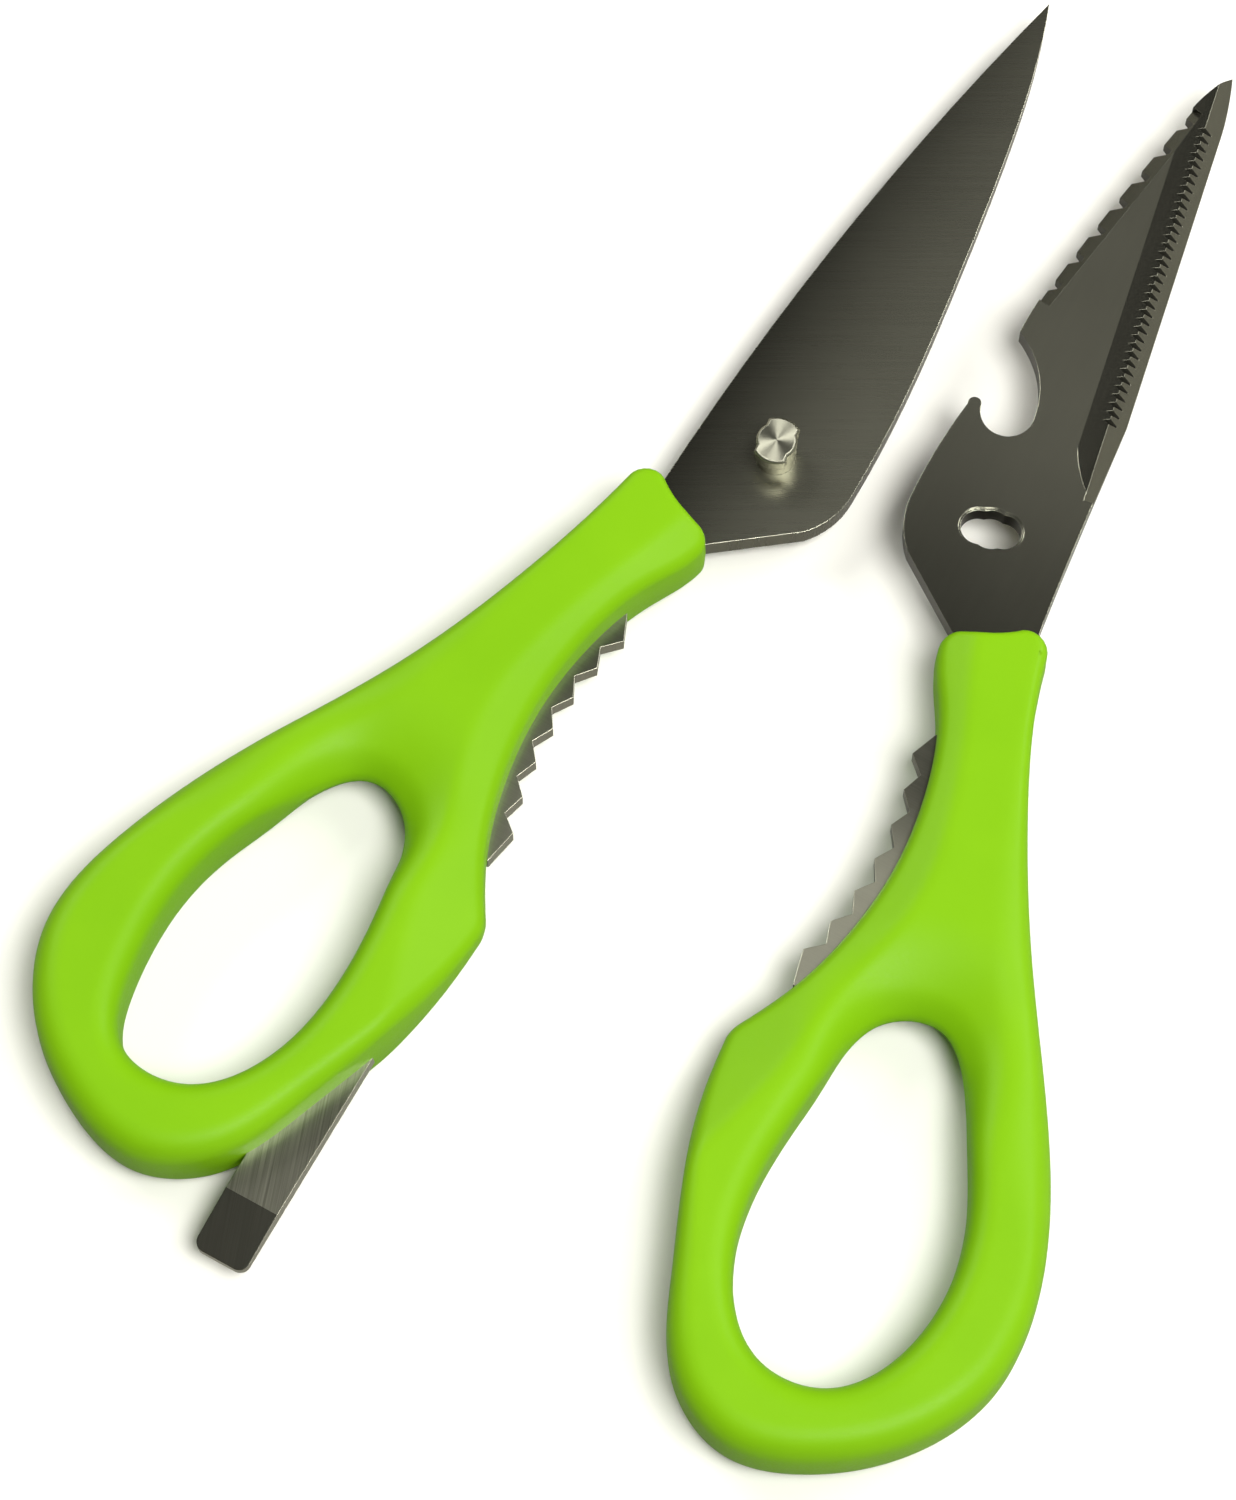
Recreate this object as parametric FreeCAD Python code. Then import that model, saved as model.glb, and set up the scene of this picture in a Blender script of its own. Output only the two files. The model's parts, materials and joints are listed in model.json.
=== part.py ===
import FreeCAD, Part
import os
from math import asin, cos, degrees, radians, sin, sqrt

# Take-apart kitchen shears, lying open in their two halves. Millimetres, +Z up, table at z = 0.
# Each half is drawn with its pivot at the origin and its blade along +Y, then laid out on the table.

# layout on the table
PLAIN_HEADING = 60.8         # direction of the plain blade, degrees from +X
SERRATED_HEADING = 62.8      # direction of the serrated blade
SET_ASIDE = (29.7, -12.6)    # from the plain half's pivot to the serrated half's
RELEASE_TURN = 80.0          # turn from the laid-out angle at which the stud's key fits the hole

# heights
HANDLE_THICK = 13.0
SHEAR_Z = 6.5                # the plane where the two blades would rub
RUB_GAP = 0.05
BLADE_THICK = 3.2
INSERT_THICK = 2.6           # jaws and lid lifter
PAST = 3.0                   # how far a cutting tool runs past what it cuts

# pivot
STUD_NECK_R = 2.87
STUD_LOBE_R = 3.6
STUD_LOBE_HALF = 2.3
STUD_TOP = 5.5               # above the shear plane
STUD_CHAMFER = 0.3
NECK_PROUD = 0.1             # round neck above the serrated blade
STUD_SHANK_R = 2.0
PEEN_R = 3.3
PEEN_THICK = 1.2
PEEN_CHAMFER = 0.6
WASHER_R = 4.6
WASHER_BORE_R = 2.08
WASHER_THICK = 1.0
WASHER_CHAMFER = 0.2
HOLE_R = 2.95
HOLE_LOBE_R = 4.3
HOLE_LOBE_HALF = 2.6
HOLE_TILT = 14.0             # long axis of the hole, from the blade's crosswise direction
HOLE_CHAMFER = 0.3
HEEL_R = 12.2

# plain blade's edge, an arc
PLAIN_TIP = (0.0, 84.0)
PLAIN_MIDDLE = (-8.3, 36.3)
PLAIN_HEEL = (-12.0, -11.4)
PLAIN_BEVEL = 5.2
PLAIN_BEVEL_FROM = -4.0      # where it starts, measured along the blade

# tang and round heel of both blades, as on the serrated one
TANG = [
    (19.6, -36.0), (20.8, -50.0), (15.4, -50.0), (15.2, -34.0), (9.5, -27.5), (2.4, -16.9),
    (-9.0, -8.24),
]
HEEL_MIDDLE = (-11.4, -4.34)

# handle
BOLSTER_R = 16.8
BOLSTER_OUT = 14.2           # its corners' distance from the blade's axis
BOLSTER_IN = 0.9
BOLSTER_ROUND = 2.6
STOP = (0.3, -81.5)          # the corner where the two handles meet when closed
STOP_ROUND = 5.0
PLAIN_BOW = -1.4             # how far each handle's outer limb stands out from the common shape
SERRATED_BOW = 1.2
EDGE_ROUND = 2.4
LOOP_ROUND = 3.4

# nutcracker jaws
JAW_CENTRE_X = -46.6
JAW_CENTRE_Y = -50.0
JAW_TIP_R = 53.6
JAW_VALLEY_R = 55.3
JAW_ROOT_R = 61.0
JAW_TEETH = 7
JAW_PITCH = 5.82             # degrees
JAW_FIRST = 16.2             # degrees, tip nearest the blade

# lid lifter
LIFTER_NEAR = 4.6
LIFTER_FAR = 12.5
LIFTER_TOP = -103.0
LIFTER_END = -138.0
LIFTER_GROUND = -129.2
LIFTER_CORNER = 1.5

# serrated blade's grinds
GRIND_WIDE = 5.6
GRIND_DEEP = 0.35
GRIND_EDGE = 0.75            # depth of the hollow's curve carried on past the edge
EDGE_WIDE = 2.5
EDGE_LEFT = 0.35             # thickness left at the cutting edge
SERRATIONS = 36
SERRATION_PITCH = 1.4
SERRATION_FIRST = -1.0
SERRATION_SIZE = 0.75
SERRATION_LONG = 3.4
SERRATION_LEAN = 34.0        # degrees down towards the edge
SERRATION_RAISE = 0.12
GRIND_LONG = 85.0
SCALER_START = (-9.55, 35.4)
SCALER_END = (-2.9, 73.6)
SCALER_DROP = 1.5
SCALER_TEETH = 7
SCALER_PITCH = 5.44
SCALER_BEVEL = 2.0


def at(x, y, z=0.0):
    return FreeCAD.Vector(x, y, z)


def line(a, b):
    return Part.makeLine(at(*a), at(*b))


def arc(a, b, c):
    return Part.Arc(at(*a), at(*b), at(*c)).toShape()


def curve(points, closed=False):
    spline = Part.BSplineCurve()
    spline.interpolate([at(*p) for p in points], PeriodicFlag=closed)
    return spline.toShape()


def plate(edges, low, high):
    face = Part.Face(Part.Wire(Part.__sortEdges__(edges)))
    face.translate(at(0, 0, low - face.BoundBox.ZMin))
    return face.extrude(at(0, 0, high - low))


def polygon(points):
    return [line(a, b) for a, b in zip(points, points[1:] + points[:1])]


def disc(radius, low, high, x=0.0, y=0.0):
    return Part.makeCylinder(radius, high - low, at(x, y, low))


def lobed(core_r, lobe_r, lobe_half, tilt, low, high):
    """A round core with two opposite square-shouldered lobes, the long way round at tilt degrees."""
    band = Part.makeBox(2 * lobe_r, 2 * lobe_half, high - low, at(-lobe_r, -lobe_half, low))
    band.rotate(at(0, 0), at(0, 0, 1), tilt)
    lobes = disc(lobe_r, low, high).common(band)
    return disc(core_r, low, high).fuse(lobes).removeSplitter()


def key_hole(core_r, lobe_r, lobe_half, tilt, low, high):
    """A round core crossed by a round-ended slot, the long way round at tilt degrees."""
    reach = lobe_r - lobe_half
    outline = [
        line((-reach, -lobe_half), (reach, -lobe_half)),
        arc((reach, -lobe_half), (lobe_r, 0.0), (reach, lobe_half)),
        line((reach, lobe_half), (-reach, lobe_half)),
        arc((-reach, lobe_half), (-lobe_r, 0.0), (-reach, -lobe_half)),
    ]
    slot = plate(outline, low, high)
    slot.rotate(at(0, 0), at(0, 0, 1), tilt)
    return disc(core_r, low, high).fuse(slot).removeSplitter()


def corner_edges(solid, x, y):
    """The upright edges of a plate that stand at a point of its outline."""
    found = []
    for edge in solid.Edges:
        ends = [v.Point for v in edge.Vertexes]
        if len(ends) == 2 and abs(ends[0].x - ends[1].x) < 0.01 and abs(ends[0].y - ends[1].y) < 0.01:
            if abs(ends[0].x - x) < 0.05 and abs(ends[0].y - y) < 0.05:
                found.append(edge)
    return found


def level_edges(solid, level, inside):
    """The edges at one height, either of the finger loop or of everything else."""
    found = []
    for edge in solid.Edges:
        box = edge.BoundBox
        if abs(box.ZMin - level) < 0.01 and abs(box.ZMax - level) < 0.01:
            loop = box.YMax < -60 and box.YMin > -125
            if loop == inside:
                found.append(edge)
    return found


def tang(start, side):
    """The outline from a blade's edge round its tang and heel; side is +1 on the serrated half."""
    path = [start] + [(side * x, y) for x, y in TANG]
    middle = (side * HEEL_MIDDLE[0], HEEL_MIDDLE[1])
    return [line(a, b) for a, b in zip(path, path[1:])] + [arc(path[-1], middle, (-side * HEEL_R, 0.0))]


# ---------------------------------------------------------------- the plain half
def plain_blade():
    outline = [
        arc(PLAIN_TIP, PLAIN_MIDDLE, PLAIN_HEEL),
        line(PLAIN_HEEL, (-15.4, -21.0)),
        *tang((-15.4, -21.0), -1),
        curve([(HEEL_R, 0.0), (11.8, 14.0), (9.2, 38.0), (5.9, 60.0), (2.9, 74.5), PLAIN_TIP]),
    ]
    body = plate(outline, SHEAR_Z - BLADE_THICK, SHEAR_Z)
    body = body.cut(under_bevel())
    return body.cut(disc(STUD_SHANK_R, 0, SHEAR_Z + PAST))


def under_bevel():
    """The plain blade's edge bevel, cut up from its outer face and ending short of the bolster."""
    edge = arc(PLAIN_TIP, PLAIN_MIDDLE, PLAIN_HEEL).Curve
    low = SHEAR_Z - BLADE_THICK
    rise = BLADE_THICK - EDGE_LEFT
    inner = edge.Center - at(edge.Radius - PLAIN_BEVEL, 0)
    outer = edge.Center - at(edge.Radius + PAST, 0)
    profile = [
        inner + at(0, 0, low),
        inner + at(0, 0, low - PAST),
        outer + at(0, 0, low - PAST),
        outer + at(0, 0, low + rise * (PLAIN_BEVEL + PAST) / PLAIN_BEVEL),
    ]
    first = degrees(asin((edge.Center.y - PLAIN_BEVEL_FROM) / edge.Radius))
    last = degrees(asin((PLAIN_TIP[1] + PAST - edge.Center.y) / edge.Radius))
    section = Part.Face(Part.makePolygon(profile + profile[:1]))
    section.rotate(edge.Center, at(0, 0, 1), first)
    return section.revolve(edge.Center, at(0, 0, -1), first + last)


def pivot_stud():
    neck_top = SHEAR_Z + RUB_GAP + BLADE_THICK + NECK_PROUD
    top = SHEAR_Z + STUD_TOP
    peen_top = SHEAR_Z - BLADE_THICK - WASHER_THICK - 2 * RUB_GAP
    peen_low = peen_top - PEEN_THICK
    tilt = HOLE_TILT + (SERRATED_HEADING - PLAIN_HEADING) + RELEASE_TURN
    neck = disc(STUD_NECK_R, SHEAR_Z, neck_top)
    head = lobed(STUD_NECK_R, STUD_LOBE_R, STUD_LOBE_HALF, tilt, neck_top, top)
    rim = [e for e in head.Edges if abs(e.BoundBox.ZMin - top) < 0.01]
    head = head.makeChamfer(STUD_CHAMFER, rim)
    shank = disc(STUD_SHANK_R, peen_top, SHEAR_Z)
    peen = disc(PEEN_R, peen_low, peen_top)
    foot = [e for e in peen.Edges if abs(e.BoundBox.ZMax - peen_low) < 0.01]
    peen = peen.makeChamfer(PEEN_CHAMFER, foot)
    return neck.fuse([head, shank, peen]).removeSplitter()


def stud_washer():
    high = SHEAR_Z - BLADE_THICK - RUB_GAP
    low = high - WASHER_THICK
    ring = disc(WASHER_R, low, high)
    rims = [e for e in ring.Edges if e.Curve.TypeId == "Part::GeomCircle"]
    ring = ring.makeChamfer(WASHER_CHAMFER, rims)
    return ring.cut(disc(WASHER_BORE_R, low - PAST, high + PAST))


# ---------------------------------------------------------------- the serrated half
SPINE = [(-3.0, 73.2), (-4.8, 64.2), (-6.8, 53.5), (-8.4, 43.0), (-9.4, 34.6), (-9.6, 29.6)]
EDGE_START = (9.9, 24.0)
EDGE_END = (2.3, 73.0)


def serrated_blade():
    outline = [
        curve([(0.0, 81.5), (1.3, 77.5), (2.3, 73.0)]),
        line(EDGE_END, EDGE_START),
        curve([EDGE_START, (10.6, 14.0), (11.5, 2.0), (12.6, -10.5)]),
        line((12.6, -10.5), (14.6, -20.0)),
        *tang((14.6, -20.0), 1),
        curve([(-HEEL_R, 0.0), (-12.1, 8.0), (-11.3, 16.0)]),
        arc((-11.3, 16.0), (-10.6, 17.4), (-9.5, 16.6)),
        arc((-9.5, 16.6), (-5.6, 13.5), (-2.0, 18.2)),
        curve([(-2.0, 18.2), (-3.6, 23.4), (-9.6, 29.6)]),
        curve(SPINE[::-1]),
        curve([(-3.0, 73.2), (-1.9, 77.2), (0.0, 81.5)]),
    ]
    low = SHEAR_Z + RUB_GAP
    top = low + BLADE_THICK
    body = plate(outline, low, top)
    body = body.cut(hollow_grind(top))
    body = body.cut(edge_bevel(top))
    body = body.cut(serration_cuts(top))
    body = body.cut(scaler_bevel(top))
    body = body.cut(scaler_notches(low, top))
    hole = key_hole(HOLE_R, HOLE_LOBE_R, HOLE_LOBE_HALF, HOLE_TILT, low - PAST, top + PAST)
    wider = [size + HOLE_CHAMFER for size in (HOLE_R, HOLE_LOBE_R, HOLE_LOBE_HALF)]
    rim = key_hole(*wider, HOLE_TILT, top - HOLE_CHAMFER, top + PAST)
    return body.cut(hole.fuse(rim))


def edge_frame():
    """Direction along the cutting edge, and the direction from it into the blade."""
    along = at(EDGE_END[0] - EDGE_START[0], EDGE_END[1] - EDGE_START[1]).normalize()
    return along, at(-along.y, along.x)


def hollow_grind(top):
    """A shallow hollow beside the edge, with a rounded run-out near the pivot."""
    along, inward = edge_frame()
    base = at(*EDGE_START) - along * 16
    near = base - inward * 4 + at(0, 0, top - GRIND_EDGE)
    ridge = base + inward * GRIND_WIDE + at(0, 0, top)
    middle = base + inward * EDGE_WIDE + at(0, 0, top - GRIND_DEEP)
    up = at(0, 0, PAST)
    hollow = Part.Arc(ridge, middle, near).toShape()
    corners = [near, near + up, ridge + up, ridge]
    walls = [Part.makeLine(a, b) for a, b in zip(corners, corners[1:])]
    cutter = Part.Face(Part.Wire([hollow] + walls)).extrude(along * GRIND_LONG)
    reach = [
        curve([(12.5, 9.0), (8.0, 12.6), (5.3, 17.0), (4.2, 22.0)]),
        line((4.2, 22.0), (-4.0, 75.0)),
        line((-4.0, 75.0), (-4.0, 95.0)),
        line((-4.0, 95.0), (25.0, 95.0)),
        line((25.0, 95.0), (12.5, 9.0)),
    ]
    return cutter.common(plate(reach, top - PAST, top + PAST))


def edge_bevel(top):
    along, inward = edge_frame()
    base = at(*EDGE_START) - along * 14
    fall = BLADE_THICK - EDGE_LEFT
    profile = [
        base + inward * EDGE_WIDE + at(0, 0, top - GRIND_DEEP),
        base + inward * EDGE_WIDE + at(0, 0, top + PAST),
        base - inward * 4 + at(0, 0, top + PAST),
        base - inward * 4 + at(0, 0, top - fall - (fall - GRIND_DEEP) * 4 / EDGE_WIDE),
    ]
    return Part.Face(Part.makePolygon(profile + profile[:1])).extrude(along * GRIND_LONG)


def serration_cuts(top):
    """Small notches across the ridge between the hollow and the edge bevel."""
    along, inward = edge_frame()
    heading = degrees(asin(along.x)) * -1
    cuts = []
    for n in range(SERRATIONS):
        bar = Part.makeBox(SERRATION_LONG, SERRATION_SIZE, SERRATION_SIZE)
        bar.translate(at(-SERRATION_LONG / 2, -SERRATION_SIZE / 2, -SERRATION_SIZE / 2))
        bar.rotate(at(0, 0), at(1, 0, 0), 45)
        bar.rotate(at(0, 0), at(0, 1, 0), SERRATION_LEAN)
        bar.rotate(at(0, 0), at(0, 0, 1), heading)
        spot = at(*EDGE_START) + along * (SERRATION_FIRST + SERRATION_PITCH * n) + inward * EDGE_WIDE
        bar.translate(spot + at(0, 0, top - GRIND_DEEP + SERRATION_RAISE))
        cuts.append(bar)
    return Part.makeCompound(cuts)


def scaler_bevel(top):
    """A slope along the toothed stretch of the spine."""
    run = at(*SCALER_END) - at(*SCALER_START)
    along = FreeCAD.Vector(run).normalize()
    right = at(along.y, -along.x)
    base = at(*SCALER_START)
    profile = [
        base + right * SCALER_BEVEL + at(0, 0, top),
        base + right * SCALER_BEVEL + at(0, 0, top + PAST),
        base - right * PAST + at(0, 0, top + PAST),
        base - right * PAST + at(0, 0, top - SCALER_DROP * (SCALER_BEVEL + PAST) / SCALER_BEVEL),
    ]
    return Part.Face(Part.makePolygon(profile + profile[:1])).extrude(run)


def scaler_notches(low, top):
    start = at(-8.15, 38.9)
    along = at(6.0, 33.0).normalize()
    inward = at(along.y, -along.x)
    cuts = []
    for n in range(SCALER_TEETH):
        mouth = start + along * (SCALER_PITCH * n) - inward * 2.2
        floor = start + along * (SCALER_PITCH * n) + inward * 0.5
        notch = [
            mouth - along * 2.0,
            floor - along * 0.35,
            floor + along * 0.45,
            mouth + along * 1.5,
        ]
        cuts.append(plate(polygon([tuple(p)[:2] for p in notch]), low - PAST, top + PAST))
    return Part.makeCompound(cuts)


# ---------------------------------------------------------------- jaws and lifter
def jaw_point(radius, angle, side):
    turn = radians(angle)
    return (side * (JAW_CENTRE_X + radius * cos(turn)), JAW_CENTRE_Y + radius * sin(turn))


def jaw(side, low, high):
    """Toothed plate let into a handle; side is -1 for the left handle and +1 for the right."""
    points = [jaw_point(JAW_ROOT_R, JAW_FIRST + 2.4, side)]
    points.append(jaw_point(56.4, JAW_FIRST + 3.4, side))
    for n in range(JAW_TEETH):
        tip = JAW_FIRST - JAW_PITCH * n
        points.append(jaw_point(JAW_TIP_R, tip, side))
        if n < JAW_TEETH - 1:
            points.append(jaw_point(JAW_VALLEY_R, tip - JAW_PITCH * 0.52, side))
    last = JAW_FIRST - JAW_PITCH * (JAW_TEETH - 1)
    points.append(jaw_point(56.4, last - 4.6, side))
    points.append(jaw_point(JAW_ROOT_R, last - 3.6, side))
    root = arc(points[-1], jaw_point(JAW_ROOT_R, (JAW_FIRST + last) / 2, side), points[0])
    edges = [line(a, b) for a, b in zip(points, points[1:])]
    return plate(edges + [root], low, high)


def lid_lifter(side, low, high):
    """Flat driver-ended tab beside the finger loop, ground thinner towards its end."""
    near, far = side * LIFTER_NEAR, side * LIFTER_FAR
    outline = polygon([(near, LIFTER_TOP), (near, LIFTER_END), (far, LIFTER_END), (far, LIFTER_TOP)])
    tab = plate(outline, low, high)
    corners = corner_edges(tab, near, LIFTER_END) + corner_edges(tab, far, LIFTER_END)
    tab = tab.makeFillet(LIFTER_CORNER, corners)
    left = min(near, far) - 1
    slope = [
        at(left, LIFTER_GROUND, high),
        at(left, LIFTER_END - 1, high - 1.5),
        at(left, LIFTER_END - 1, high + 1),
        at(left, LIFTER_GROUND, high + 1),
    ]
    return tab.cut(Part.Face(Part.makePolygon(slope + slope[:1])).extrude(at(12, 0, 0)))


# ---------------------------------------------------------------- handles
def handle(side, bow, inserts):
    """Moulded handle with its finger loop; side is -1 for the left handle and +1 for the right."""
    def s(points):
        return [(side * x, y) for x, y in points]

    bolster_out = (BOLSTER_OUT, -sqrt(BOLSTER_R ** 2 - BOLSTER_OUT ** 2))
    bolster_in = (BOLSTER_IN, -sqrt(BOLSTER_R ** 2 - BOLSTER_IN ** 2))
    bolster_mid = (BOLSTER_R * sin(radians(30)), -BOLSTER_R * cos(radians(30)))
    outer = [
        bolster_out, (16.9, -21.0), (22.4 + 0.4 * bow, -36.6), (31.6 + 0.9 * bow, -55.6),
        (43.2 + bow, -75.2), (51.6 + bow, -96.0), (52.4 + 0.4 * bow, -110.5),
        (46.0, -122.4), (35.8, -130.0), (25.0, -132.6), (15.4, -127.6),
        (8.6, -114.6), (3.5, -100.5), (1.1, -90.0), STOP,
    ]
    inner = [
        STOP, (5.2, -72.9), (8.9, -61.0), (10.0, -50.0), (8.8, -38.6), (4.9, -27.2),
        (1.5, -20.4), bolster_in,
    ]
    loop = [
        (24.2, -70.0), (33.4 + 0.7 * bow, -78.6), (39.7 + bow, -93.6), (39.8 + bow, -109.4),
        (33.4, -120.2), (24.6, -120.8), (16.7, -113.2), (13.3, -98.6), (14.8, -81.4), (18.4, -72.4),
    ]
    edges = [
        arc(*s([bolster_out, bolster_mid, bolster_in])),
        curve(s(outer)),
        curve(s(inner)),
    ]
    body = plate(edges, 0, HANDLE_THICK)
    rounds = [(bolster_out, BOLSTER_ROUND), (bolster_in, BOLSTER_ROUND), (STOP, STOP_ROUND)]
    for (x, y), radius in rounds:
        body = body.makeFillet(radius, corner_edges(body, side * x, y))
    body = body.cut(plate([curve(s(loop), closed=True)], -PAST, HANDLE_THICK + PAST))
    for level in (0, HANDLE_THICK):
        body = body.makeFillet(EDGE_ROUND, level_edges(body, level, False))
        body = body.makeFillet(LOOP_ROUND, level_edges(body, level, True))
    for insert in inserts:
        body = body.cut(insert)
    return body


# ---------------------------------------------------------------- build and lay out
LEFT, RIGHT = -1, 1
upper = SHEAR_Z + RUB_GAP
plain = {
    "plain_blade": plain_blade(),
    "pivot_stud": pivot_stud(),
    "stud_washer": stud_washer(),
    "plain_nutcracker_jaw": jaw(LEFT, SHEAR_Z - INSERT_THICK, SHEAR_Z),
    "lid_lifter_tab": lid_lifter(LEFT, SHEAR_Z - INSERT_THICK, SHEAR_Z),
}
plain["plain_handle"] = handle(
    LEFT, PLAIN_BOW, [plain["plain_blade"], plain["plain_nutcracker_jaw"], plain["lid_lifter_tab"]]
)
serrated = {
    "serrated_blade": serrated_blade(),
    "serrated_nutcracker_jaw": jaw(RIGHT, upper, upper + INSERT_THICK),
}
serrated["serrated_handle"] = handle(
    RIGHT, SERRATED_BOW, [serrated["serrated_blade"], serrated["serrated_nutcracker_jaw"]]
)

nodes = {}
for name, shape in plain.items():
    shape.rotate(at(0, 0), at(0, 0, 1), PLAIN_HEADING - 90)
    nodes[name] = shape
for name, shape in serrated.items():
    shape.rotate(at(0, 0), at(0, 0, 1), SERRATED_HEADING - 90)
    shape.translate(at(*SET_ASIDE))
    nodes[name] = shape

# centre the whole layout over the origin
whole = Part.makeCompound(list(nodes.values()))
box = whole.optimalBoundingBox()
shift = at(-(box.XMin + box.XMax) / 2, -(box.YMin + box.YMax) / 2)
os.makedirs("parts", exist_ok=True)
for name, shape in nodes.items():
    shape.translate(shift)
    shape.exportStep("parts/" + name + ".step")
    print(name, shape.isValid(), len(shape.Solids), len(shape.Faces), round(shape.Volume, 1))
print("pivot", round(shift.x, 3), round(shift.y, 3))
print("size", round(box.XLength, 2), round(box.YLength, 2), round(box.ZLength, 2))
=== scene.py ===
import bpy
import json
import math
import numpy as np
from mathutils import Matrix, Vector
from mathutils.geometry import delaunay_2d_cdt


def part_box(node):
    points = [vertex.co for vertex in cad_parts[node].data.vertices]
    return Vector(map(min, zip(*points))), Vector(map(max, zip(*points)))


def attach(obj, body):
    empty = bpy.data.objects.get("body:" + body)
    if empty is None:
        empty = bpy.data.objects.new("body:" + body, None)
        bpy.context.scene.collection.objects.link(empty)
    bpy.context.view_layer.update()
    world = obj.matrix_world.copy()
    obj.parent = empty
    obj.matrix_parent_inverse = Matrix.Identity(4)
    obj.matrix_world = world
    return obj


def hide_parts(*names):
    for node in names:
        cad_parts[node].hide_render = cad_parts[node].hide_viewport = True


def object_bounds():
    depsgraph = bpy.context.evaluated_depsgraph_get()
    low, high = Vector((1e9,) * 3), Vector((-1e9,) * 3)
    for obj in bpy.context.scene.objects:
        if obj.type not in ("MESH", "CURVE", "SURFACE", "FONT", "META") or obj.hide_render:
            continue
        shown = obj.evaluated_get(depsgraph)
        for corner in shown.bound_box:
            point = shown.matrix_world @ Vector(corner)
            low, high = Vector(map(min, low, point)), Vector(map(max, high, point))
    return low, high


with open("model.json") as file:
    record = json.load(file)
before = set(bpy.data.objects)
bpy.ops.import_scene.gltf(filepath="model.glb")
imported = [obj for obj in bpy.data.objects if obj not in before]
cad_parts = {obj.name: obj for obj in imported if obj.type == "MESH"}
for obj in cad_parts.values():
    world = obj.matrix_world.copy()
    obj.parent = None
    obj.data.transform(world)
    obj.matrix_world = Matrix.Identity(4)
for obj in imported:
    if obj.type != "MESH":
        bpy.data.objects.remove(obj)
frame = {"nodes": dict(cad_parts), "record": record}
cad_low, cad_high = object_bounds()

MM = 0.001
NODES = frame["nodes"]

# how the two halves lie, in degrees from +X
PLAIN_HEADING = 60.8
SERRATED_HEADING = 62.8
THICK = 13.0                 # handles, mm
MIDDLE = THICK / 2

# moulded handle, mm: pivot at the origin, blade along +Y, outer side towards +X
BOLSTER_R = 16.8
BOLSTER_OUT = 14.2           # its corners' distance from the blade's axis
BOLSTER_IN = 0.9
BOLSTER_CORNER = 2.6         # radius of its corners, seen from above
STOP = (0.3, -81.5)          # the corner where the two handles meet when closed
STOP_CORNER = 5.0
PLAIN_BOW = -1.4             # how far each handle's outer limb stands out from the common shape
SERRATED_BOW = 1.2
LOOP_RISE = 1.5              # how much longer a bowed handle's loop is, for each mm of bow
LOOP_ROUND = 3.4             # rounding over the edge of the finger loop
JAW_SLOPE = 0.46             # fall of the facet towards the jaw
OUTER_SLOPE = 0.40
JAW_CREASE_SOFT = 0.55       # how soft the crease above each facet is
OUTER_CREASE_SOFT = 0.7
HOLLOW_CENTRE = (23.5, -84.0)
HOLLOW_TURN = 0.02           # radians from straight ahead to the hollow's deepest spot
HOLLOW_DEEP = 4.4            # hollow for the finger, at the loop's upper end
HOLLOW_WIDE = 13.5
HOLLOW_NARROW = 6.5          # its width where it has faded out
HOLLOW_FADE = (0.2, 1.7)     # radians round the loop from its upper end
LEAST_WALL = 0.4             # upright wall kept between the rounding and the seam
GRID = 0.75                  # spacing of the points on the top face
ROUND_STEPS = 7              # rings of points over a rounded edge
CLEAR = 0.55                 # share of the spacing kept free beside a rim
SEAM_PROUD = 0.12            # how far the mould's seam stands out


def box_centre(name):
    low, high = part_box(name)
    return (Vector(low) + Vector(high)) / 2


def pivots():
    """Where each half's pivot stands: the washer's centre, and the same spot carried by the slide."""
    plain = box_centre("stud_washer")
    for joint in frame["record"]["behaviour"]["joints"]:
        if joint["type"] == "slide":
            aside = Vector(joint["axis"]) * -joint["range_m"][1]
    return plain, plain + aside


# ---------------------------------------------------------------- curves in the handle's plane
def spline(points, spacing, closed=False):
    """Evenly spaced points on a smooth curve through the given ones."""
    pts = np.array(points, float)
    if closed:
        count = len(pts)
        pts = np.vstack([pts, pts, pts, pts[:1]])
    at = np.concatenate([[0], np.cumsum(np.hypot(*np.diff(pts, axis=0).T))])
    step = np.diff(at)
    size = len(pts)
    matrix = np.eye(size)
    right = np.zeros((size, 2))
    for k in range(1, size - 1):
        matrix[k, k - 1:k + 2] = step[k - 1], 2 * (step[k - 1] + step[k]), step[k]
        right[k] = 6 * ((pts[k + 1] - pts[k]) / step[k] - (pts[k] - pts[k - 1]) / step[k - 1])
    bend = np.linalg.solve(matrix, right)
    first, last = (at[count], at[2 * count]) if closed else (0, at[-1])
    wanted = np.linspace(first, last, max(4, int((last - first) / spacing)) + 1)
    if closed:
        wanted = wanted[:-1]
    k = np.clip(np.searchsorted(at, wanted, side="right") - 1, 0, size - 2)
    h, a, b = step[k], at[k + 1] - wanted, wanted - at[k]
    h, a, b = h[:, None], a[:, None], b[:, None]
    return (
        bend[k] * a ** 3 / (6 * h) + bend[k + 1] * b ** 3 / (6 * h)
        + (pts[k] / h - bend[k] * h / 6) * a + (pts[k + 1] / h - bend[k + 1] * h / 6) * b
    )


def trimmed(path, length):
    """A polyline without its first stretch of the given length."""
    at = np.concatenate([[0], np.cumsum(np.hypot(*np.diff(path, axis=0).T))])
    start = np.array([np.interp(length, at, path[:, 0]), np.interp(length, at, path[:, 1])])
    return np.vstack([start, path[at > length + 0.05]])


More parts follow.
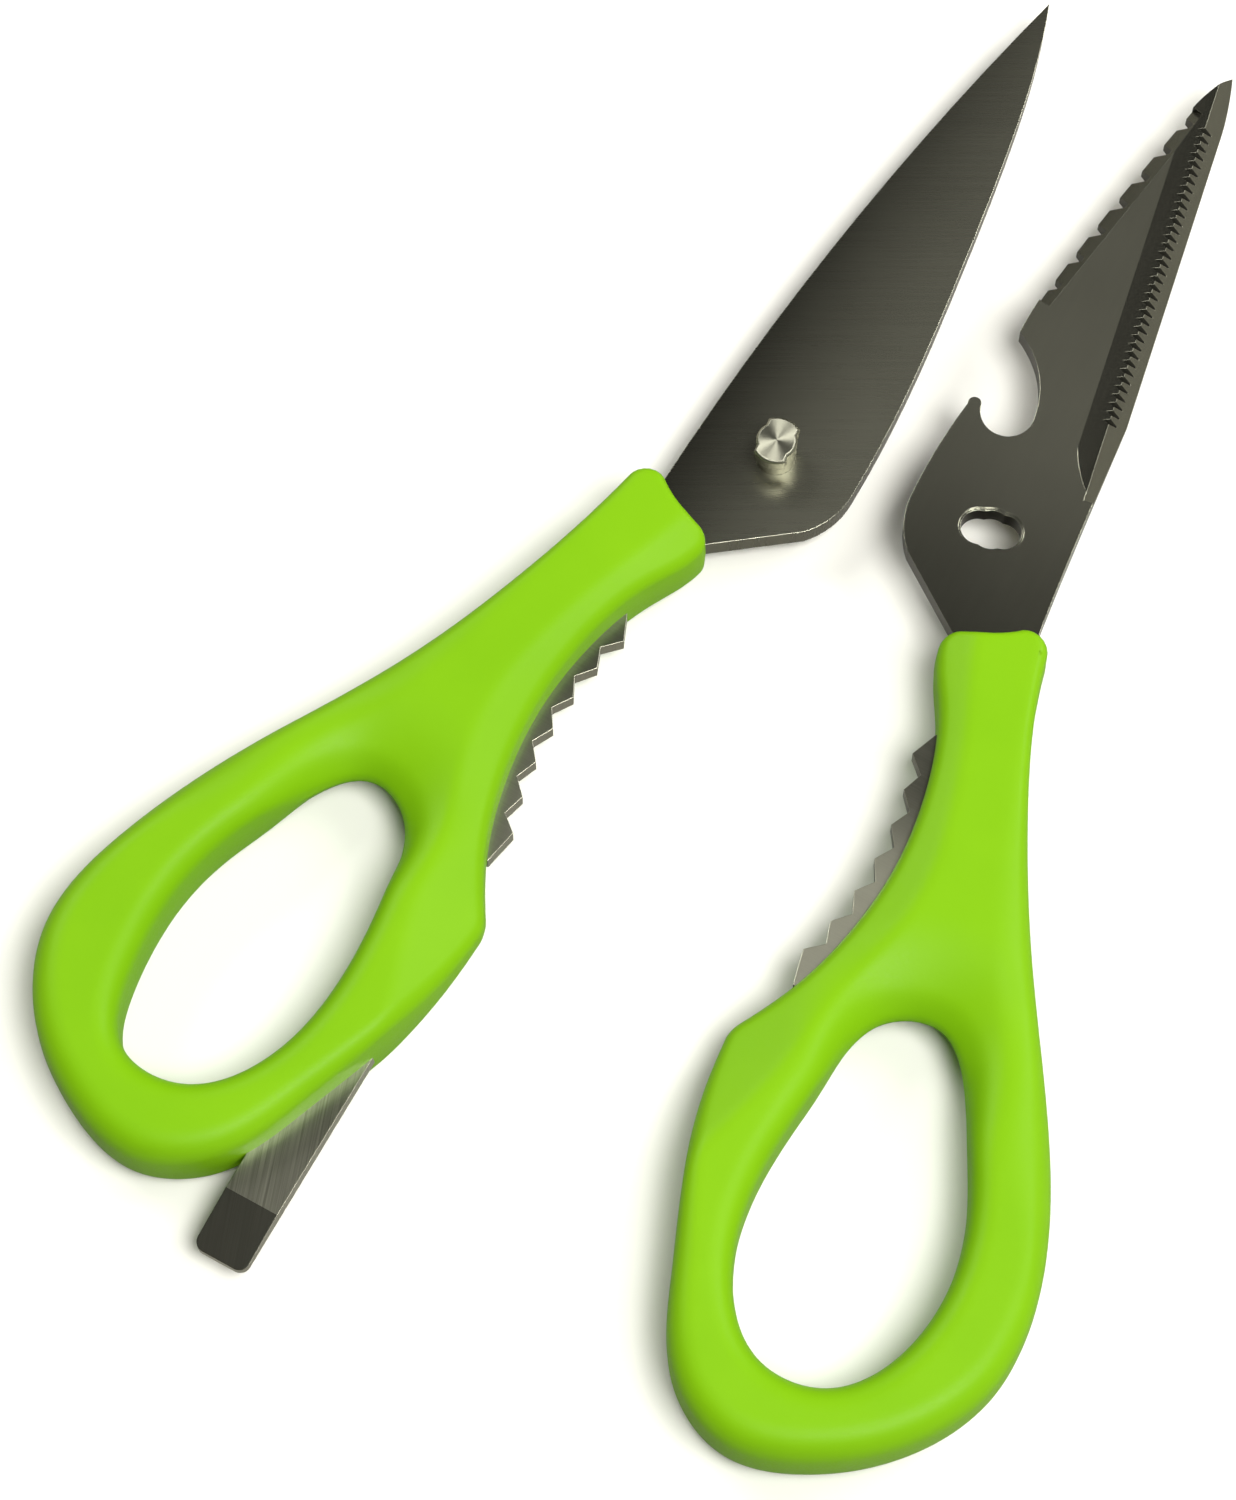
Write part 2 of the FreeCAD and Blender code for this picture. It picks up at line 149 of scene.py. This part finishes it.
def joined(before, after, radius):
    """Two polylines that meet at a corner, with the corner rounded."""
    came = before[-1] - before[-3]
    goes = after[2] - after[0]
    turn = math.acos(np.dot(came, goes) / np.hypot(*came) / np.hypot(*goes))
    cut = radius * math.tan(turn / 2)
    corner = before[-1]
    before = trimmed(before[::-1], cut)[::-1]
    after = trimmed(after, cut)
    weight = math.cos(turn / 2)
    arc = []
    for t in np.linspace(0, 1, 9)[1:-1]:
        shares = np.array([(1 - t) ** 2, 2 * t * (1 - t) * weight, t ** 2])
        arc.append((shares @ np.array([before[-1], corner, after[0]])) / shares.sum())
    return before, np.array(arc), after


def sideways(path):
    """Unit vectors to the left of a closed path."""
    ahead = np.roll(path, -1, axis=0) - np.roll(path, 1, axis=0)
    ahead /= np.hypot(*ahead.T)[:, None]
    return np.column_stack([-ahead[:, 1], ahead[:, 0]])


def nearest(points, path, closed):
    """Distance from each point to a path, positive on the path's left."""
    ends = np.roll(path, -1, axis=0) if closed else path[1:]
    starts = path if closed else path[:-1]
    run = ends - starts
    best = np.full(len(points), 1e9)
    side = np.ones(len(points))
    for start, step in zip(starts, run):
        offset = points - start
        share = np.clip(offset @ step / (step @ step), 0, 1)
        gap = np.hypot(*(offset - share[:, None] * step).T)
        closer = gap < best
        best[closer] = gap[closer]
        side[closer] = np.sign(step[0] * offset[closer, 1] - step[1] * offset[closer, 0])
    return best * np.where(side == 0, 1, side)


def inside(points, path):
    """Whether each point lies within a closed path."""
    found = np.zeros(len(points), bool)
    for (x0, y0), (x1, y1) in zip(path, np.roll(path, -1, axis=0)):
        if y0 == y1:
            continue
        spans = (y0 > points[:, 1]) != (y1 > points[:, 1])
        found ^= spans & (points[:, 0] < x0 + (points[:, 1] - y0) * (x1 - x0) / (y1 - y0))
    return found


def softer_min(a, b, blend):
    """The lower of two heights, with the crease between them rounded over."""
    mix = np.clip(0.5 + 0.5 * (b - a) / blend, 0, 1)
    return b * (1 - mix) + a * mix - blend * mix * (1 - mix)


def smooth_step(value, low, high):
    """A share that climbs smoothly from 0 at low to 1 at high."""
    t = np.clip((value - low) / (high - low), 0, 1)
    return t * t * (3 - 2 * t)


# ---------------------------------------------------------------- the moulded handle
def bolster_at(x):
    return x, -math.sqrt(BOLSTER_R ** 2 - x ** 2)


class HandleShape:
    """Outline, finger loop and top face of one handle; bow is how far the outer limb stands out."""

    def __init__(self, bow):
        bolster = np.array([bolster_at(x) for x in np.linspace(BOLSTER_OUT, BOLSTER_IN, 20)])
        jaw_side = spline([
            bolster_at(BOLSTER_IN), (1.5, -20.4), (4.9, -27.2), (8.8, -38.6), (10.0, -50.0),
            (8.9, -61.0), (5.2, -72.9), STOP,
        ], GRID)
        limb = spline([
            STOP, (1.1, -90.0), (3.5, -100.5), (8.6, -114.6), (15.4, -127.6), (25.0, -132.6),
            (35.8, -130.0), (46.0, -122.4), (52.4 + 0.4 * bow, -110.5), (51.6 + bow, -96.0),
            (43.2 + bow, -75.2), (31.6 + 0.9 * bow, -55.6), (22.4 + 0.4 * bow, -36.6),
            (16.9, -21.0), bolster_at(BOLSTER_OUT),
        ], GRID)
        jaw_side, stop_arc, limb = joined(jaw_side, limb, STOP_CORNER)
        bolster, inner_arc, jaw_side = joined(bolster, jaw_side, BOLSTER_CORNER)
        limb, outer_arc, bolster = joined(limb, bolster, BOLSTER_CORNER)
        limb_round = np.interp(
            np.linspace(0, 1, len(limb)),
            [0, 0.06, 0.16, 0.28, 0.45, 0.6, 0.8, 1.0],
            [1.3, 1.9, 2.9, 4.0, 3.9, 3.0, 1.8, 1.3],
        )
        # edge rounding along each stretch: small at the bolster and stop, full round the loop
        pieces = [
            (bolster, 1.0), (inner_arc, 1.1), (jaw_side, 1.5), (stop_arc, 1.3), (limb, limb_round),
            (outer_arc, 1.1),
        ]
        self.outline = np.vstack([path for path, _ in pieces])
        rounds = np.concatenate([np.broadcast_to(r, len(path)) for path, r in pieces])
        self.outline_round = np.mean([np.roll(rounds, k) for k in range(-4, 5)], axis=0)
        rise = LOOP_RISE * max(bow, 0)
        self.loop = spline([
            (24.2, -70.0 + rise), (18.4, -72.4 + rise), (14.8, -81.4), (13.3, -98.6), (16.7, -113.2),
            (24.6, -120.8), (33.4, -120.2), (39.8 + bow, -109.4), (39.7 + bow, -93.6),
            (33.4 + 0.7 * bow, -78.6),
        ], GRID, closed=True)
        self.loop_round = np.full(len(self.loop), LOOP_ROUND)
        self.jaw_crease = spline([
            (4.2, -10.0), (5.6, -17.0), (9.5, -28.0), (13.2, -40.0), (15.0, -50.0), (14.8, -58.0),
            (13.0, -67.0), (10.8, -77.0), (8.4, -88.0), (5.2, -98.0), (1.6, -108.0),
        ], 1.0)
        self.outer_crease = spline([
            (14.0, -12.0), (18.3, -25.8), (23.4 + 0.4 * bow, -44.8), (28.3 + 0.8 * bow, -57.7),
            (35.8 + bow, -72.2), (41.2 + bow, -81.5), (47.2 + bow, -90.6), (54.5 + bow, -102.0),
        ], 1.0)

    def height(self, points):
        """A face: flat, sloping down to the jaw and to the outside, with a hollow for the finger."""
        top = np.full(len(points), THICK)
        to_jaw = -nearest(points, self.jaw_crease, False)
        top = softer_min(top, THICK - JAW_SLOPE * to_jaw, JAW_CREASE_SOFT)
        to_outside = nearest(points, self.outer_crease, False)
        top = softer_min(top, THICK - OUTER_SLOPE * to_outside, OUTER_CREASE_SOFT)
        rim = np.abs(nearest(points, self.loop, True))
        across, ahead = (points - HOLLOW_CENTRE).T
        fade = smooth_step(np.abs(np.arctan2(across, ahead) + HOLLOW_TURN), *HOLLOW_FADE)
        reach = HOLLOW_WIDE + (HOLLOW_NARROW - HOLLOW_WIDE) * fade
        depth = HOLLOW_DEEP * (1 - fade)
        return top - depth * np.clip(1 - rim / reach, 0, 1) ** 2

    def rows(self, path, rounding, into):
        """Rings of points from the top face's rim, over the rounded edge, down to the side wall."""
        rings = []
        for angle in np.radians(np.linspace(90, 0, ROUND_STEPS)):
            spot = path + into * (rounding * (1 - math.cos(angle)))[:, None]
            top = self.height(spot)
            round_here = np.minimum(rounding, top - MIDDLE - LEAST_WALL)
            drop = round_here * (1 - math.sin(angle))
            rings.append(np.column_stack([spot, top - drop]))
        return rings


def handle_geometry(shape):
    """Points and faces of a handle, its lower side the mirror image of its upper one."""
    outer = shape.rows(shape.outline, shape.outline_round, sideways(shape.outline))
    inner = shape.rows(shape.loop, shape.loop_round, -sideways(shape.loop))
    top_rim, loop_rim = outer[0][:, :2], inner[0][:, :2]
    low, high = shape.outline.min(axis=0), shape.outline.max(axis=0)
    grid = []
    for row, y in enumerate(np.arange(low[1], high[1], GRID * math.sqrt(3) / 2)):
        for x in np.arange(low[0] + GRID / 2 * (row % 2), high[0], GRID):
            grid.append((x, y))
    grid = np.array(grid)
    grid = grid[inside(grid, top_rim) & ~inside(grid, loop_rim)]
    clear = np.abs(nearest(grid, top_rim, True)) > GRID * CLEAR
    clear &= np.abs(nearest(grid, loop_rim, True)) > GRID * CLEAR
    grid = grid[clear]
    a, b = len(top_rim), len(loop_rim)
    flat = np.vstack([top_rim, loop_rim, grid])
    edges = [(k, (k + 1) % a) for k in range(a)] + [(a + k, a + (k + 1) % b) for k in range(b)]
    _, _, faces, origins, _, _ = delaunay_2d_cdt([Vector(p) for p in flat], edges, [], 0, 1e-6)
    first = [origin[0] for origin in origins]
    tri = np.array([[first[v] for v in face] for face in faces])
    centre = flat[tri].mean(axis=1)
    tri = tri[inside(centre, top_rim) & ~inside(centre, loop_rim)]
    polygons = [tuple(t) for t in tri]
    used = len(flat)

    def wall(count, start, flip):
        """Bands from a rim of the face down to the seam; returns the lowest ring's numbers."""
        nonlocal used
        above = list(range(start, start + count))
        for _ in range(ROUND_STEPS - 1):
            below = list(range(used, used + count))
            used += count
            for k in range(count):
                n = (k + 1) % count
                quad = (above[k], below[k], below[n], above[n])
                polygons.append(quad[::-1] if flip else quad)
            above = below
        return above

    outer_foot = wall(a, 0, False)
    inner_foot = wall(b, a, True)
    face = np.column_stack([flat, shape.height(flat)])
    upper = np.vstack([face] + outer[1:] + inner[1:])
    lower = upper * [1, 1, -1] + [0, 0, THICK]
    shift = len(upper)
    both = polygons + [tuple(v + shift for v in poly[::-1]) for poly in polygons]
    seam = []
    for foot, path, into, flip in (
        (outer_foot, shape.outline, sideways(shape.outline), False),
        (inner_foot, shape.loop, -sideways(shape.loop), True),
    ):
        ring = np.column_stack([path - into * SEAM_PROUD, np.full(len(path), MIDDLE)])
        start = 2 * shift + sum(len(s) for s in seam)
        seam.append(ring)
        count = len(ring)
        for k in range(count):
            n = (k + 1) % count
            for quad in (
                (foot[k], start + k, start + n, foot[n]),
                (start + k, foot[k] + shift, foot[n] + shift, start + n),
            ):
                both.append(quad[::-1] if flip else quad)
    return np.vstack([upper, lower] + seam), both


def moulded_handle(name, side, bow, heading, pivot):
    """A handle laid on the table; side is -1 for the left handle and +1 for the right."""
    shape = HandleShape(bow)
    points, faces = handle_geometry(shape)
    points = points * [side, 1, 1]
    if side < 0:
        faces = [face[::-1] for face in faces]
    mesh = bpy.data.meshes.new(name)
    mesh.from_pydata([tuple(p) for p in points * MM], [], faces)
    place = Matrix.Translation((pivot.x, pivot.y, cad_low.z))
    mesh.transform(place @ Matrix.Rotation(math.radians(heading - 90), 4, "Z"))
    mesh.shade_smooth()
    piece = bpy.data.objects.new(name, mesh)
    bpy.context.scene.collection.objects.link(piece)
    return piece


# ---------------------------------------------------------------- shader tools
def add(tree, kind, values=None, **settings):
    """A shader node with its settings, and its sockets set or linked by name or number."""
    node = tree.nodes.new("ShaderNode" + kind)
    for key, value in settings.items():
        setattr(node, key, value)
    for key, value in (values or {}).items():
        if isinstance(value, bpy.types.NodeSocket):
            tree.links.new(value, node.inputs[key])
        else:
            node.inputs[key].default_value = value
    return node


def math_node(tree, operation, *values):
    return add(tree, "Math", dict(enumerate(values)), operation=operation).outputs[0]


def ramp(tree, value, low, high, start=0.0, end=1.0):
    sockets = {"Value": value, "From Min": low, "From Max": high, "To Min": start, "To Max": end}
    return add(tree, "MapRange", sockets).outputs[0]


def blend(tree, share, first, second):
    node = add(tree, "Mix", {0: share, 6: first, 7: second}, data_type="RGBA")
    return node.outputs[2]


def effect(name, inputs, outputs):
    """An empty node group with named sockets."""
    tree = bpy.data.node_groups.new(name, "ShaderNodeTree")
    for label, value in inputs.items():
        socket = tree.interface.new_socket(label, in_out="INPUT", socket_type="NodeSocketFloat")
        socket.default_value = value
    for label, kind in outputs.items():
        tree.interface.new_socket(label, in_out="OUTPUT", socket_type="NodeSocket" + kind)
    return tree, tree.nodes.new("NodeGroupInput").outputs, tree.nodes.new("NodeGroupOutput").inputs


def placed(tree, group, values):
    """An effect group placed in a material with its own values; returns its outputs."""
    node = tree.nodes.new("ShaderNodeGroup")
    node.node_tree = group
    for key, value in values.items():
        if isinstance(value, bpy.types.NodeSocket):
            tree.links.new(value, node.inputs[key])
        else:
            node.inputs[key].default_value = value
    return node.outputs


def fine_grain():
    """A fine stipple and a slow cloudiness over a surface."""
    tree, given, gives = effect(
        "fine_grain", {"Grain": 2500.0, "Cloud": 60.0}, {"Stipple": "Float", "Cloud": "Float"}
    )
    spot = add(tree, "TexCoord").outputs["Object"]
    stipple = add(tree, "TexNoise", {"Vector": spot, "Scale": given["Grain"], "Detail": 2.0})
    cloud = add(tree, "TexNoise", {"Vector": spot, "Scale": given["Cloud"], "Detail": 3.0})
    tree.links.new(stipple.outputs[0], gives["Stipple"])
    tree.links.new(cloud.outputs[0], gives["Cloud"])
    return tree


def brushed_lines():
    """Fine parallel grinding lines at an angle from +X."""
    tree, given, gives = effect(
        "brushed_lines", {"Angle": 0.0, "Spacing": 6000.0, "Length": 70.0}, {"Lines": "Float"}
    )
    spot = add(tree, "TexCoord").outputs["Object"]
    turned = add(tree, "VectorRotate", {"Vector": spot, "Angle": given["Angle"]}, rotation_type="Z_AXIS")
    stretch = add(tree, "CombineXYZ", {0: given["Length"], 1: given["Spacing"], 2: given["Length"]})
    drawn = add(tree, "VectorMath", {0: turned.outputs[0], 1: stretch.outputs[0]}, operation="MULTIPLY")
    lines = add(tree, "TexNoise", {"Vector": drawn.outputs[0], "Scale": 1.0, "Detail": 3.0})
    tree.links.new(lines.outputs[0], gives["Lines"])
    return tree


def drift():
    """A share that climbs from 0 to 1 between two distances from a spot, in a direction from +X."""
    tree, given, gives = effect(
        "drift",
        {"Spot X": 0.0, "Spot Y": 0.0, "Angle": 0.0, "From": -0.01, "To": 0.01},
        {"Share": "Float"},
    )
    spot = add(tree, "TexCoord").outputs["Object"]
    start = add(tree, "CombineXYZ", {0: given["Spot X"], 1: given["Spot Y"]})
    offset = add(tree, "VectorMath", {0: spot, 1: start.outputs[0]}, operation="SUBTRACT")
    back = math_node(tree, "MULTIPLY", given["Angle"], -1.0)
    turned = add(
        tree, "VectorRotate", {"Vector": offset.outputs[0], "Angle": back}, rotation_type="Z_AXIS"
    )
    along = add(tree, "SeparateXYZ", {0: turned.outputs[0]}).outputs[0]
    share = add(
        tree, "MapRange", {"Value": along, "From Min": given["From"], "From Max": given["To"]},
        interpolation_type="SMOOTHSTEP",
    )
    tree.links.new(share.outputs[0], gives["Share"])
    return tree


def slope():
    """Masks of leaning faces: slightly, as a hollow grind; halfway, as an edge; steeply, as a wall."""
    tree, _, gives = effect("slope", {}, {"Ground": "Float", "Bevel": "Float", "Wall": "Float"})
    facing = add(tree, "TexCoord").outputs["Normal"]
    level = add(tree, "VectorMath", {0: facing, 1: (1, 1, 0)}, operation="MULTIPLY")
    lean = add(tree, "VectorMath", {0: level.outputs[0]}, operation="LENGTH").outputs["Value"]
    tree.links.new(ramp(tree, lean, 0.02, 0.08), gives["Ground"])
    tree.links.new(ramp(tree, lean, 0.30, 0.50), gives["Bevel"])
    tree.links.new(ramp(tree, lean, 0.74, 0.79), gives["Wall"])
    return tree


def rounded_edge_glint():
    """Where a surface turns over an edge, as the mask of a painted highlight, and the normal of that
    edge as if slightly rounded.
    """
    tree, given, gives = effect(
        "rounded_edge_glint", {"Radius": 0.0003}, {"Mask": "Float", "Normal": "Vector"}
    )
    rounded = add(tree, "Bevel", {"Radius": given["Radius"]}, samples=12)
    flat = add(tree, "NewGeometry").outputs["Normal"]
    match = add(tree, "VectorMath", {0: rounded.outputs[0], 1: flat}, operation="DOT_PRODUCT")
    turned_over = ramp(tree, match.outputs["Value"], 0.995, 0.85)   # cosines of 6 and 32 degrees
    tree.links.new(turned_over, gives["Mask"])
    tree.links.new(rounded.outputs[0], gives["Normal"])
    return tree


GRAIN = fine_grain()
LINES = brushed_lines()
EDGE = rounded_edge_glint()
DRIFT = drift()
SLOPE = slope()


def finish(name, **sockets):
    """A material with its shader's even values set."""
    mat = bpy.data.materials.new(name)
    mat.use_nodes = True
    tree = mat.node_tree
    tree.nodes.clear()
    shader = tree.nodes.new("ShaderNodeBsdfPrincipled")
    out = tree.nodes.new("ShaderNodeOutputMaterial")
    tree.links.new(shader.outputs[0], out.inputs[0])
    for key, value in sockets.items():
        shader.inputs[key.replace("_", " ")].default_value = value
    return mat, tree, shader.inputs


LIME_DEEP = (0.190, 0.445, 0.003, 1)
LIME_PALE = (0.210, 0.475, 0.004, 1)
FLOOR_WARM = (0.93, 0.915, 0.84, 1)
FLOOR_PALE = (0.95, 0.935, 0.86, 1)
FLOOR_BOUNCE = (0.42, 0.405, 0.36, 1)   # the floor as other surfaces see it


def lime_moulding():
    """Satin moulded plastic with a faint stipple."""
    mat, tree, shader = finish("lime_moulding", Metallic=0.0, Specular_IOR_Level=0.13)
    grain = placed(tree, GRAIN, {"Grain": 2600.0, "Cloud": 45.0})
    colour = blend(tree, ramp(tree, grain["Cloud"], 0.3, 0.7), LIME_DEEP, LIME_PALE)
    tree.links.new(colour, shader["Base Color"])
    tree.links.new(ramp(tree, grain["Stipple"], 0.3, 0.7, 0.40, 0.50), shader["Roughness"])
    bump = add(tree, "Bump", {"Height": grain["Stipple"], "Distance": 0.00003, "Strength": 0.35})
    tree.links.new(bump.outputs[0], shader["Normal"])
    return mat


def along_half(tree, node, pivot, angle, start, end):
    """The drift share on a node, from its half's pivot; start and end in mm."""
    spot = NODES[node].matrix_world.inverted() @ pivot
    values = {
        "Spot X": spot.x, "Spot Y": spot.y, "Angle": math.radians(angle),
        "From": start * MM, "To": end * MM,
    }
    return placed(tree, DRIFT, values)["Share"]


def grey(value):
    """A warm steel grey."""
    return (value, value * 0.985, value * 0.76, 1)


EDGE_HIGHLIGHT = grey(0.60)          # painted highlight along an edge


def steel(name, near, far, ground, bevel, wall, rough, angle, lines, shift=None):
    """Ground steel: each tone is (dark, light); near changes slowly to far where a shift is given, which
    on the blades is a painted reflection. The ground, bevel and wall tones paint light and shade by how
    far a face leans, and edges get a painted highlight.
    """
    mat, tree, shader = finish(name, Metallic=1.0)
    grain = placed(tree, GRAIN, {"Grain": 1800.0, "Cloud": 70.0})
    brush = placed(tree, LINES, {"Angle": math.radians(angle)})
    edge = placed(tree, EDGE, {"Radius": 0.12 * MM})
    lean = placed(tree, SLOPE, {})
    cloud = ramp(tree, grain["Cloud"], 0.0, 1.0, 0.4, 0.6)
    share = math_node(tree, "MULTIPLY_ADD", brush["Lines"], lines, cloud)
    low, high = 0.4 + 0.3 * lines, 0.6 + 0.7 * lines
    mixed = ramp(tree, share, low, high)
    colour = blend(tree, mixed, *map(grey, near))
    if shift:
        colour = blend(tree, along_half(tree, *shift), colour, blend(tree, mixed, *map(grey, far)))
    # painted light and shade: each face's tone is set by how far it leans, as a hollow grind, a bevel or
    # a wall
    for mask, tone in (("Ground", ground), ("Bevel", bevel), ("Wall", wall)):
        colour = blend(tree, lean[mask], colour, blend(tree, mixed, *map(grey, tone)))
    # painted highlight along the edges, kept off the hollow-ground faces
    level = math_node(tree, "SUBTRACT", 1.0, lean["Ground"])
    colour = blend(tree, math_node(tree, "MULTIPLY", edge["Mask"], level), colour, EDGE_HIGHLIGHT)
    tree.links.new(colour, shader["Base Color"])
    tree.links.new(ramp(tree, share, low, high, rough - 0.01, rough + 0.02), shader["Roughness"])
    height = math_node(tree, "MULTIPLY_ADD", brush["Lines"], lines, grain["Stipple"])
    bump = add(tree, "Bump", {
        "Height": height, "Distance": 0.00002, "Strength": 0.04, "Normal": edge["Normal"],
    })
    tree.links.new(bump.outputs[0], shader["Normal"])
    return mat


def turned_steel():
    """Lathe-turned steel, its highlights fanned round the axis, its steep side walls painted darker as
    shade.
    """
    mat, tree, shader = finish("turned_steel", Metallic=1.0, Anisotropic=0.85)
    edge = placed(tree, EDGE, {"Radius": 0.25 * MM})
    grain = placed(tree, GRAIN, {"Grain": 3000.0, "Cloud": 400.0})
    lean = placed(tree, SLOPE, {})
    colour = blend(tree, grain["Cloud"], grey(0.44), grey(0.54))
    # painted shade: the steep side walls darker
    colour = blend(tree, lean["Wall"], colour, grey(0.20))
    tree.links.new(colour, shader["Base Color"])
    tree.links.new(ramp(tree, grain["Stipple"], 0.3, 0.7, 0.42, 0.52), shader["Roughness"])
    tree.links.new(edge["Normal"], shader["Normal"])
    around = add(tree, "Tangent", direction_type="RADIAL", axis="Z")
    tree.links.new(around.outputs[0], shader["Tangent"])
    return mat


# ---------------------------------------------------------------- the pieces
plain_pivot, serrated_pivot = pivots()
plain_handle = moulded_handle("moulded_plain_handle", -1, PLAIN_BOW, PLAIN_HEADING, plain_pivot)
serrated_handle = moulded_handle(
    "moulded_serrated_handle", 1, SERRATED_BOW, SERRATED_HEADING, serrated_pivot
)
lime = lime_moulding()
for piece, body, node in (
    (plain_handle, "plain_half", "plain_handle"),
    (serrated_handle, "serrated_half", "serrated_handle"),
):
    piece.data.materials.append(lime)
    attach(piece, body)
    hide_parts(node)

# the plain blade's near-to-far change is a painted reflection: darker on its left side, lighter towards
# its right
plain_steel = steel(
    "plain_blade_steel", near=(0.055, 0.07), far=(0.48, 0.54), ground=(0.2, 0.24),
    bevel=(0.2, 0.24), wall=(0.14, 0.18), rough=0.27, angle=0, lines=0.25,
    shift=("plain_blade", plain_pivot, PLAIN_HEADING - 90, -18, 12),
)
# the serrated blade's near-to-far change is a painted reflection: darker near the pivot, lighter towards
# the tip
serrated_steel = steel(
    "serrated_blade_steel", near=(0.13, 0.15), far=(0.48, 0.53), ground=(0.10, 0.13),
    bevel=(0.24, 0.28), wall=(0.05, 0.07), rough=0.26, angle=-SERRATED_HEADING, lines=0.25,
    shift=("serrated_blade", serrated_pivot, SERRATED_HEADING, -25, 25),
)
plain_jaw_steel = steel(
    "plain_jaw_steel", near=(0.24, 0.36), far=(0.50, 0.64), ground=(0.4, 0.6), bevel=(0.4, 0.6),
    wall=(0.22, 0.34), rough=0.30, angle=30, lines=0.3,
    shift=("plain_nutcracker_jaw", plain_pivot, PLAIN_HEADING - 180, 35, 62),
)
serrated_jaw_steel = steel(
    "serrated_jaw_steel", near=(0.18, 0.28), far=(0.75, 0.85), ground=(0.4, 0.6), bevel=(0.4, 0.6),
    wall=(0.12, 0.18), rough=0.30, angle=30, lines=0.3,
    shift=("serrated_nutcracker_jaw", serrated_pivot, SERRATED_HEADING - 180, 38, 56),
)
tab_steel = steel(
    "tab_steel", near=(0.26, 0.50), far=None, ground=(0.10, 0.12), bevel=(0.2, 0.3),
    wall=(0.26, 0.36), rough=0.30, angle=-80, lines=1.6,
)
stud_steel = turned_steel()
FINISHES = {
    "plain_blade": plain_steel,
    "serrated_blade": serrated_steel,
    "plain_nutcracker_jaw": plain_jaw_steel,
    "serrated_nutcracker_jaw": serrated_jaw_steel,
    "lid_lifter_tab": tab_steel,
    "pivot_stud": stud_steel,
    "stud_washer": stud_steel,
}
for name, node in NODES.items():
    node.data.materials.clear()
    node.data.materials.append(FINISHES.get(name, lime))

# ---------------------------------------------------------------- floor
bpy.ops.mesh.primitive_plane_add(size=4, location=(0, 0, cad_low.z))
floor = bpy.context.object
floor.name = "floor"
paper, paper_tree, paper_shader = finish("pale_floor", Roughness=0.8)
paper_grain = placed(paper_tree, GRAIN, {"Grain": 900.0, "Cloud": 8.0})
paper_colour = blend(paper_tree, paper_grain["Cloud"], FLOOR_WARM, FLOOR_PALE)
seen = add(paper_tree, "LightPath").outputs["Is Camera Ray"]
paper_colour = blend(paper_tree, seen, FLOOR_BOUNCE, paper_colour)
paper_tree.links.new(paper_colour, paper_shader["Base Color"])
floor.data.materials.append(paper)

# ---------------------------------------------------------------- camera
VIEW_UP = 68.0               # degrees above the floor
DISTANCE = 0.650
SPAN = 0.2055                # width in view at the aim point, metres
AIM = Vector((-5.4, -8.8, MIDDLE)) * MM
camera = bpy.data.cameras.new("camera")
camera.lens = camera.sensor_width * DISTANCE / SPAN
cam = bpy.data.objects.new("camera", camera)
bpy.context.scene.collection.objects.link(cam)
up = math.radians(VIEW_UP)
back = Vector((0, -math.cos(up), math.sin(up)))
cam.location = AIM + back * DISTANCE
cam.rotation_mode = "QUATERNION"
cam.rotation_quaternion = (-back).to_track_quat("-Z", "Y")
bpy.context.scene.camera = cam

# ---------------------------------------------------------------- light
ROOM_DARK = 0.07
ROOM_BRIGHT = 0.35
WINDOW_EDGE = (0.15, 0.9)    # where the bright side begins and where it is full
WINDOW_TOWARDS = Vector((0.80, -0.60, 0.0)).normalized()   # the bright side of the room
world = bpy.data.worlds.new("world")
world.use_nodes = True
sky = world.node_tree
sky.nodes.clear()
heading_of_ray = add(sky, "TexCoord").outputs["Generated"]
facing = add(sky, "VectorMath", {0: heading_of_ray, 1: tuple(WINDOW_TOWARDS)}, operation="DOT_PRODUCT")
glow = ramp(sky, facing.outputs["Value"], *WINDOW_EDGE, ROOM_DARK, ROOM_BRIGHT)
background = add(sky, "Background", {"Color": (1.0, 0.99, 0.95, 1), "Strength": glow})
world_out = sky.nodes.new("ShaderNodeOutputWorld")
sky.links.new(background.outputs[0], world_out.inputs[0])
bpy.context.scene.world = world


def lamp(name, place, size, watts):
    """A soft rectangular lamp turned towards the middle of the floor."""
    data = bpy.data.lights.new(name, "AREA")
    data.shape = "RECTANGLE"
    data.size, data.size_y = size
    data.energy = watts
    obj = bpy.data.objects.new(name, data)
    obj.location = place
    obj.rotation_mode = "QUATERNION"
    obj.rotation_quaternion = (-Vector(place)).to_track_quat("-Z", "Y")
    bpy.context.scene.collection.objects.link(obj)


lamp("right_key", (1.05, 0.45, 0.90), (0.7, 0.5), 8)
lamp("back_left", (-0.75, 0.80, 0.90), (0.7, 0.5), 8)
lamp("top", (0.40, -0.45, 1.30), (0.7, 0.7), 21)
bpy.context.scene.view_settings.view_transform = "Standard"
